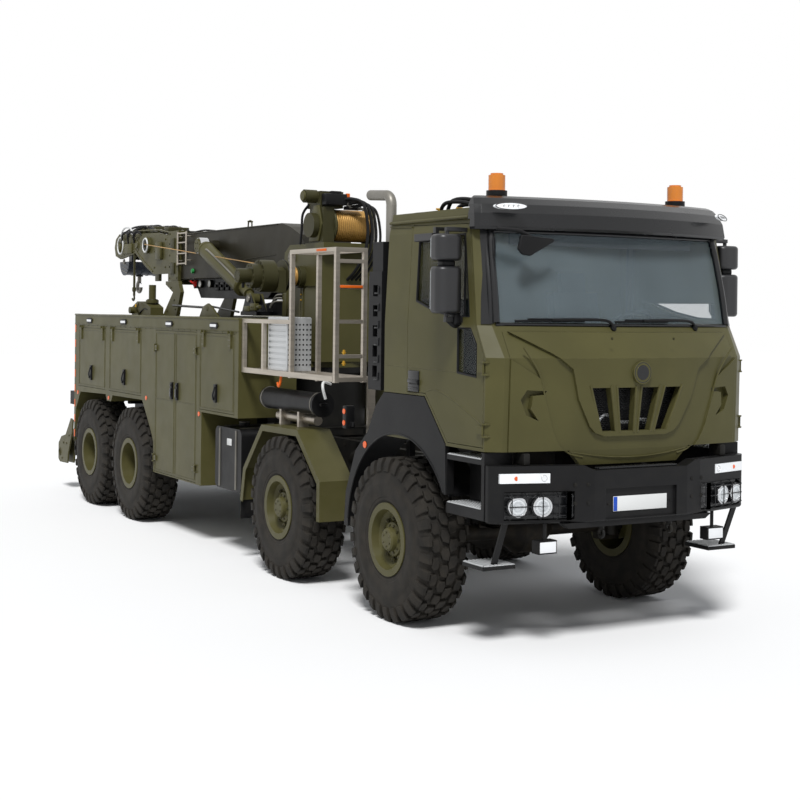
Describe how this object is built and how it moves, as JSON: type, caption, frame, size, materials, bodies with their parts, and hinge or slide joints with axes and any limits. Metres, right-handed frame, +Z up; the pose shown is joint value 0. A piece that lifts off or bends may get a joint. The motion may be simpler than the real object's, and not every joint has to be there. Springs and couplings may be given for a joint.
{
  "type": "tow truck",
  "caption": "Heavy recovery truck with a slewing telescopic crane boom, side lockers, a short cab, opening doors and a rear underlift with towing eyes.",
  "frame": {"origin": "on the ground under the middle of the bounding box", "axes": "-Y towards the cab's front, +Y towards the rear, +X to the vehicle's left, +Z up"},
  "size_m": [3, 11.7, 3.805],
  "materials": {
    "olive_paint": "satin",
    "winch_paint": "satin",
    "chassis_paint": "satin",
    "driveline_steel": "rough",
    "tyre_rubber": "matte",
    "black_plastic": "matte",
    "black_steel": "satin",
    "grey_steel": "satin",
    "stainless_steel": "satin",
    "aluminium_box": "satin",
    "chrome_rod": "polished",
    "grey_interior": "matte",
    "lamp_plastic": "glossy",
    "tinted_glass": "glossy"
  },
  "bodies": {
    "truck": {"chassis_frame": "chassis_paint", "driveline": "driveline_steel", "cab_shell": "olive_paint", "front_panel": "olive_paint", "windscreen": "tinted_glass", "sun_visor": "black_plastic", "cab_interior": "grey_interior", "bumper": "black_plastic", "exhaust_stack": "grey_steel", "tanks": "black_steel", "service_frame": "stainless_steel", "equipment_box": "aluminium_box", "lockers": "olive_paint", "lamps": "lamp_plastic", "front_fenders": "black_plastic", "second_fenders": "olive_paint"},
    "steering_knuckle_1_left": {"steering_knuckle_1_left": "chassis_paint"},
    "wheel_1_left": {"tyre_1_left": "tyre_rubber", "rim_1_left": "olive_paint"},
    "steering_knuckle_1_right": {"steering_knuckle_1_right": "chassis_paint"},
    "wheel_1_right": {"tyre_1_right": "tyre_rubber", "rim_1_right": "olive_paint"},
    "steering_knuckle_2_left": {"steering_knuckle_2_left": "chassis_paint"},
    "wheel_2_left": {"tyre_2_left": "tyre_rubber", "rim_2_left": "olive_paint"},
    "steering_knuckle_2_right": {"steering_knuckle_2_right": "chassis_paint"},
    "wheel_2_right": {"tyre_2_right": "tyre_rubber", "rim_2_right": "olive_paint"},
    "wheel_3_left": {"tyre_3_left": "tyre_rubber", "rim_3_left": "olive_paint"},
    "wheel_3_right": {"tyre_3_right": "tyre_rubber", "rim_3_right": "olive_paint"},
    "wheel_4_left": {"tyre_4_left": "tyre_rubber", "rim_4_left": "olive_paint"},
    "wheel_4_right": {"tyre_4_right": "tyre_rubber", "rim_4_right": "olive_paint"},
    "cab_door_left": {"cab_door_left": "olive_paint", "mirrors_left": "black_plastic"},
    "cab_door_right": {"cab_door_right": "olive_paint", "mirrors_right": "black_plastic"},
    "locker_front_flap_left": {"locker_front_flap_left": "olive_paint"},
    "locker_front_flap_right": {"locker_front_flap_right": "olive_paint"},
    "locker_front_leaf_left": {"locker_front_leaf_left": "olive_paint"},
    "locker_front_leaf_right": {"locker_front_leaf_right": "olive_paint"},
    "locker_rear_leaf_left": {"locker_rear_leaf_left": "olive_paint"},
    "locker_rear_leaf_right": {"locker_rear_leaf_right": "olive_paint"},
    "locker_middle_flap_left": {"locker_middle_flap_left": "olive_paint"},
    "locker_middle_flap_right": {"locker_middle_flap_right": "olive_paint"},
    "locker_rear_flap_left": {"locker_rear_flap_left": "olive_paint"},
    "locker_rear_flap_right": {"locker_rear_flap_right": "olive_paint"},
    "turret": {"turret": "olive_paint", "winches": "winch_paint"},
    "boom": {"boom": "olive_paint", "boom_belly": "black_steel"},
    "boom_extension": {"boom_extension": "olive_paint"},
    "hook_block": {"hook_block": "grey_steel"},
    "lift_barrels": {"lift_barrels": "olive_paint"},
    "lift_rods": {"lift_rods": "chrome_rod"},
    "underlift_carriage": {"underlift_carriage": "black_steel"},
    "underlift_crossbar": {"underlift_crossbar": "olive_paint"}
  },
  "joints": [
    {"name": "steer_1_left", "type": "hinge", "parent": "truck", "child": "steering_knuckle_1_left", "pos_m": [0.95, -4.25, 0.6715], "axis": [0, 0, 1], "range_deg": [-28, 28]},
    {"name": "spin_1_left", "type": "hinge", "parent": "steering_knuckle_1_left", "child": "wheel_1_left", "pos_m": [1.145, -4.25, 0.6715], "axis": [1, 0, 0], "continuous": true},
    {"name": "steer_1_right", "type": "hinge", "parent": "truck", "child": "steering_knuckle_1_right", "pos_m": [-0.95, -4.25, 0.6715], "axis": [0, 0, 1], "range_deg": [-28, 28]},
    {"name": "spin_1_right", "type": "hinge", "parent": "steering_knuckle_1_right", "child": "wheel_1_right", "pos_m": [-1.145, -4.25, 0.6715], "axis": [1, 0, 0], "continuous": true},
    {"name": "steer_2_left", "type": "hinge", "parent": "truck", "child": "steering_knuckle_2_left", "pos_m": [0.95, -2.143, 0.6715], "axis": [0, 0, 1], "range_deg": [-20, 20]},
    {"name": "spin_2_left", "type": "hinge", "parent": "steering_knuckle_2_left", "child": "wheel_2_left", "pos_m": [1.145, -2.143, 0.6715], "axis": [1, 0, 0], "continuous": true},
    {"name": "steer_2_right", "type": "hinge", "parent": "truck", "child": "steering_knuckle_2_right", "pos_m": [-0.95, -2.143, 0.6715], "axis": [0, 0, 1], "range_deg": [-20, 20]},
    {"name": "spin_2_right", "type": "hinge", "parent": "steering_knuckle_2_right", "child": "wheel_2_right", "pos_m": [-1.145, -2.143, 0.6715], "axis": [1, 0, 0], "continuous": true},
    {"name": "spin_3_left", "type": "hinge", "parent": "truck", "child": "wheel_3_left", "pos_m": [1.145, 2.111, 0.6715], "axis": [1, 0, 0], "continuous": true},
    {"name": "spin_3_right", "type": "hinge", "parent": "truck", "child": "wheel_3_right", "pos_m": [-1.145, 2.111, 0.6715], "axis": [1, 0, 0], "continuous": true},
    {"name": "spin_4_left", "type": "hinge", "parent": "truck", "child": "wheel_4_left", "pos_m": [1.145, 3.638, 0.6715], "axis": [1, 0, 0], "continuous": true},
    {"name": "spin_4_right", "type": "hinge", "parent": "truck", "child": "wheel_4_right", "pos_m": [-1.145, 3.638, 0.6715], "axis": [1, 0, 0], "continuous": true},
    {"name": "cab_door_swing_left", "type": "hinge", "parent": "truck", "child": "cab_door_left", "pos_m": [1.264, -5.546, 1.9], "axis": [0, 0, -1], "range_deg": [0, 70]},
    {"name": "cab_door_swing_right", "type": "hinge", "parent": "truck", "child": "cab_door_right", "pos_m": [-1.264, -5.546, 1.9], "axis": [0, 0, 1], "range_deg": [0, 70]},
    {"name": "front_flap_swing_left", "type": "hinge", "parent": "truck", "child": "locker_front_flap_left", "pos_m": [1.313, -0.4875, 2.278], "axis": [0, -1, 0], "range_deg": [0, 90]},
    {"name": "front_flap_swing_right", "type": "hinge", "parent": "truck", "child": "locker_front_flap_right", "pos_m": [-1.313, -0.4875, 2.278], "axis": [0, 1, 0], "range_deg": [0, 90]},
    {"name": "front_leaf_swing_left", "type": "hinge", "parent": "truck", "child": "locker_front_leaf_left", "pos_m": [1.313, 0.072, 1.469], "axis": [0, 0, -1], "range_deg": [0, 90]},
    {"name": "front_leaf_swing_right", "type": "hinge", "parent": "truck", "child": "locker_front_leaf_right", "pos_m": [-1.313, 0.072, 1.469], "axis": [0, 0, 1], "range_deg": [0, 90]},
    {"name": "rear_leaf_swing_left", "type": "hinge", "parent": "truck", "child": "locker_rear_leaf_left", "pos_m": [1.313, 1.35, 1.469], "axis": [0, 0, 1], "range_deg": [0, 90]},
    {"name": "rear_leaf_swing_right", "type": "hinge", "parent": "truck", "child": "locker_rear_leaf_right", "pos_m": [-1.313, 1.35, 1.469], "axis": [0, 0, -1], "range_deg": [0, 90]},
    {"name": "middle_flap_swing_left", "type": "hinge", "parent": "truck", "child": "locker_middle_flap_left", "pos_m": [1.313, 2.4235, 2.262], "axis": [0, -1, 0], "range_deg": [0, 90]},
    {"name": "middle_flap_swing_right", "type": "hinge", "parent": "truck", "child": "locker_middle_flap_right", "pos_m": [-1.313, 2.4235, 2.262], "axis": [0, 1, 0], "range_deg": [0, 90]},
    {"name": "rear_flap_swing_left", "type": "hinge", "parent": "truck", "child": "locker_rear_flap_left", "pos_m": [1.313, 3.727, 2.262], "axis": [0, -1, 0], "range_deg": [0, 90]},
    {"name": "rear_flap_swing_right", "type": "hinge", "parent": "truck", "child": "locker_rear_flap_right", "pos_m": [-1.313, 3.727, 2.262], "axis": [0, 1, 0], "range_deg": [0, 90]},
    {"name": "slew", "type": "hinge", "parent": "truck", "child": "turret", "pos_m": [0, -0.5, 1.93], "axis": [0, 0, 1], "range_deg": [-115, 115]},
    {"name": "luff", "type": "hinge", "parent": "turret", "child": "boom", "pos_m": [0, -0.3, 3.1], "axis": [1, 0, 0], "range_deg": [0, 60]},
    {"name": "telescope", "type": "slide", "parent": "boom", "child": "boom_extension", "axis": [0, 1, 0], "range_m": [0, 2.2]},
    {"name": "hook_swing", "type": "hinge", "parent": "boom_extension", "child": "hook_block", "pos_m": [0, 5.63, 3.4], "axis": [1, 0, 0], "range_deg": [-60, 0]},
    {"name": "cylinder_swing", "type": "hinge", "parent": "turret", "child": "lift_barrels", "pos_m": [0, 0.41, 2.65], "axis": [1, 0, 0], "range_deg": [0, 64]},
    {"name": "cylinder_stroke", "type": "slide", "parent": "lift_barrels", "child": "lift_rods", "axis": [0, 0.9256, 0.3784], "range_m": [0, 0.84]},
    {"name": "underlift_lift", "type": "slide", "parent": "truck", "child": "underlift_carriage", "axis": [0, 0, 1], "range_m": [-0.22, 0.1]},
    {"name": "underlift_reach", "type": "slide", "parent": "underlift_carriage", "child": "underlift_crossbar", "axis": [0, 1, 0], "range_m": [0, 0.25]}
  ],
  "couplings": [
    {"joint": "steer_1_right", "follows": "steer_1_left", "ratio": 1},
    {"joint": "steer_2_left", "follows": "steer_1_left", "ratio": 0.7},
    {"joint": "steer_2_right", "follows": "steer_1_left", "ratio": 0.7},
    {"joint": "hook_swing", "follows": "luff", "ratio": -1},
    {"joint": "cylinder_swing", "follows": "luff", "ratio": 1.06},
    {"joint": "cylinder_stroke", "follows": "luff", "m_per_rad": 0.8}
  ]
}
